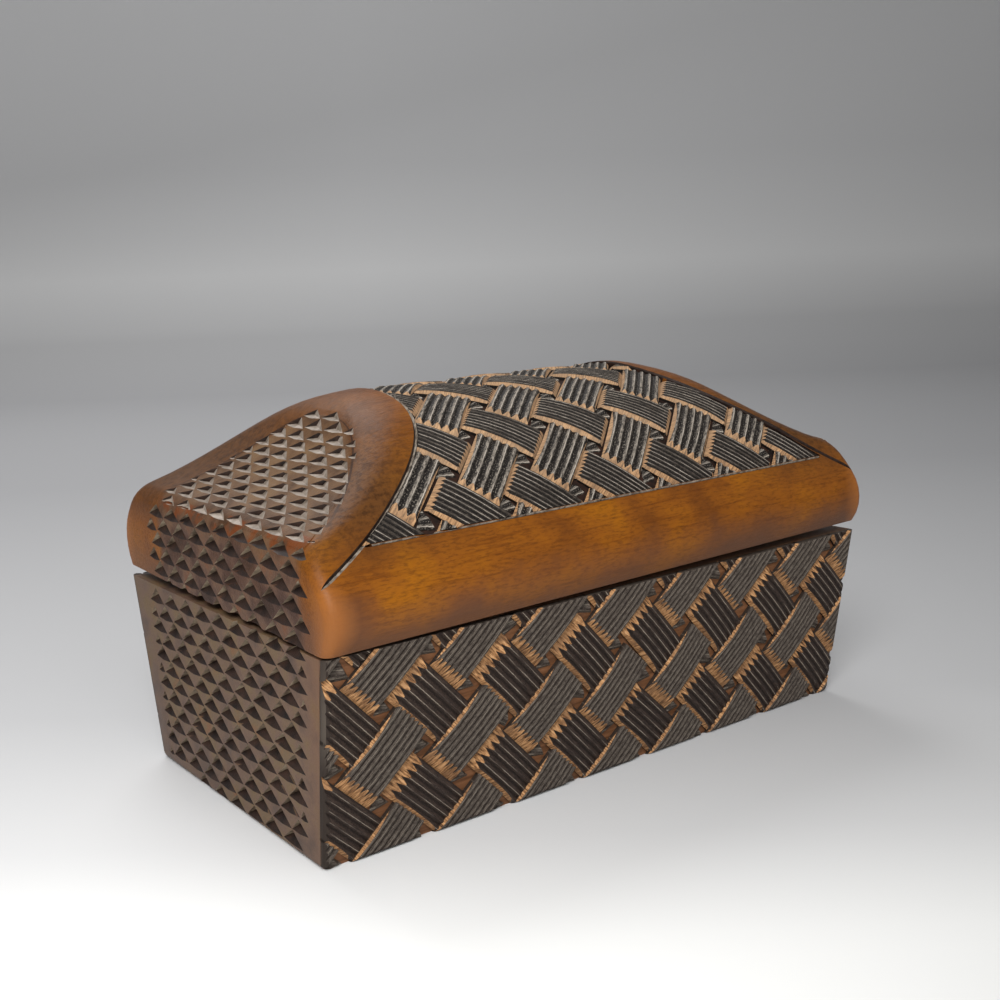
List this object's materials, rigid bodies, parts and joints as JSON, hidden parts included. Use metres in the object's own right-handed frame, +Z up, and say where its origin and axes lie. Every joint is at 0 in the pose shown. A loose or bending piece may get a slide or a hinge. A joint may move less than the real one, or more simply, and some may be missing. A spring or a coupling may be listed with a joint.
{
  "type": "carved wooden trinket box",
  "caption": "Flared wooden trinket box with a hipped, ogee-ended casket lid on concealed brass butt hinges at the back.",
  "frame": {"origin": "on the underside, below the middle of the body", "axes": "+X along the long side towards the right seen from the front, +Y to the back where the hinges are, +Z up"},
  "size_m": [0.12, 0.0783, 0.0693],
  "materials": {
    "body_wood": "dark stained, carved and rubbed",
    "lid_wood": "orange-brown, polished by handling",
    "hinge_brass": "aged, slightly dull",
    "pin_steel": "dull"
  },
  "bodies": {
    "body": {"box_body": "body_wood", "left_hinge_body_leaf": "hinge_brass", "left_hinge_pin": "pin_steel", "right_hinge_body_leaf": "hinge_brass", "right_hinge_pin": "pin_steel", "left_body_leaf_screw_1": "hinge_brass", "left_body_leaf_screw_2": "hinge_brass", "right_body_leaf_screw_1": "hinge_brass", "right_body_leaf_screw_2": "hinge_brass"},
    "lid": {"lid": "lid_wood", "left_hinge_lid_leaf": "hinge_brass", "right_hinge_lid_leaf": "hinge_brass", "left_lid_leaf_screw_1": "hinge_brass", "left_lid_leaf_screw_2": "hinge_brass", "right_lid_leaf_screw_1": "hinge_brass", "right_lid_leaf_screw_2": "hinge_brass"}
  },
  "joints": [
    {"name": "lid_hinge", "type": "hinge", "parent": "body", "child": "lid", "pos_m": [0, 0.0384, 0.03585], "axis": [-1, 0, 0], "range_deg": [0, 180]}
  ]
}
